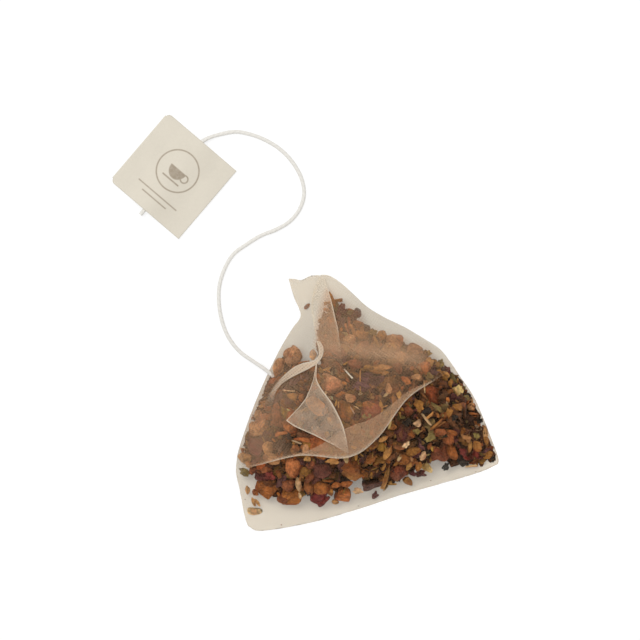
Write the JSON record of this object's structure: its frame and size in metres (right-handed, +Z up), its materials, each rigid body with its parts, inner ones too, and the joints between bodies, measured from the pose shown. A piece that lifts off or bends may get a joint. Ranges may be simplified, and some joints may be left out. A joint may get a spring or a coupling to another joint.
{
  "type": "pyramid tea bag",
  "caption": "Collapsed pyramid sachet of see-through mesh cloth holding dried fruit and flower tea, with a cotton string and a folded card tag.",
  "frame": {"origin": "under the middle of the pouch, on the table", "axes": "+Z up from the table; +Y points to the pouch's far corner, the way the picture's top points; +X to the picture's right"},
  "size_m": [0.0907, 0.0977, 0.0149],
  "materials": {
    "mesh_cloth": "fine see-through plain weave",
    "cotton_string": "twisted cotton",
    "tag_card": "uncoated cream card",
    "dried_fruit": "dried fruit, matt to satin",
    "dried_petal": "dried flower petal, wrinkled",
    "dried_leaf": "dried leaf, matt",
    "dried_stem": "dried stem"
  },
  "bodies": {
    "root": {"fruit_01": "dried_fruit", "fruit_02": "dried_fruit", "fruit_03": "dried_fruit", "fruit_04": "dried_fruit", "fruit_05": "dried_fruit", "fruit_06": "dried_fruit", "fruit_07": "dried_fruit", "fruit_08": "dried_fruit", "fruit_09": "dried_fruit", "fruit_10": "dried_fruit", "fruit_11": "dried_fruit", "fruit_12": "dried_fruit", "fruit_13": "dried_fruit", "fruit_14": "dried_fruit", "fruit_15": "dried_fruit", "fruit_16": "dried_fruit", "fruit_17": "dried_fruit", "fruit_18": "dried_fruit", "fruit_19": "dried_fruit", "fruit_20": "dried_fruit", "fruit_21": "dried_fruit", "fruit_22": "dried_fruit", "fruit_23": "dried_fruit", "fruit_24": "dried_fruit", "fruit_25": "dried_fruit", "fruit_26": "dried_fruit", "fruit_27": "dried_fruit", "fruit_28": "dried_fruit", "fruit_29": "dried_fruit", "fruit_30": "dried_fruit", "fruit_31": "dried_fruit", "fruit_32": "dried_fruit", "fruit_33": "dried_fruit", "fruit_34": "dried_fruit", "fruit_35": "dried_fruit", "leaf_01": "dried_leaf", "leaf_02": "dried_leaf", "leaf_03": "dried_leaf", "leaf_04": "dried_leaf", "leaf_05": "dried_leaf", "leaf_06": "dried_leaf", "leaf_07": "dried_leaf", "petal_01": "dried_petal", "petal_02": "dried_petal", "petal_03": "dried_petal", "petal_04": "dried_petal", "petal_05": "dried_petal", "petal_06": "dried_petal", "petal_07": "dried_petal", "petal_08": "dried_petal", "petal_09": "dried_petal", "petal_10": "dried_petal", "petal_11": "dried_petal", "petal_12": "dried_petal", "petal_13": "dried_petal", "pouch": "mesh_cloth", "stem_01": "dried_stem", "string": "cotton_string", "tag": "tag_card"}
  },
  "joints": []
}
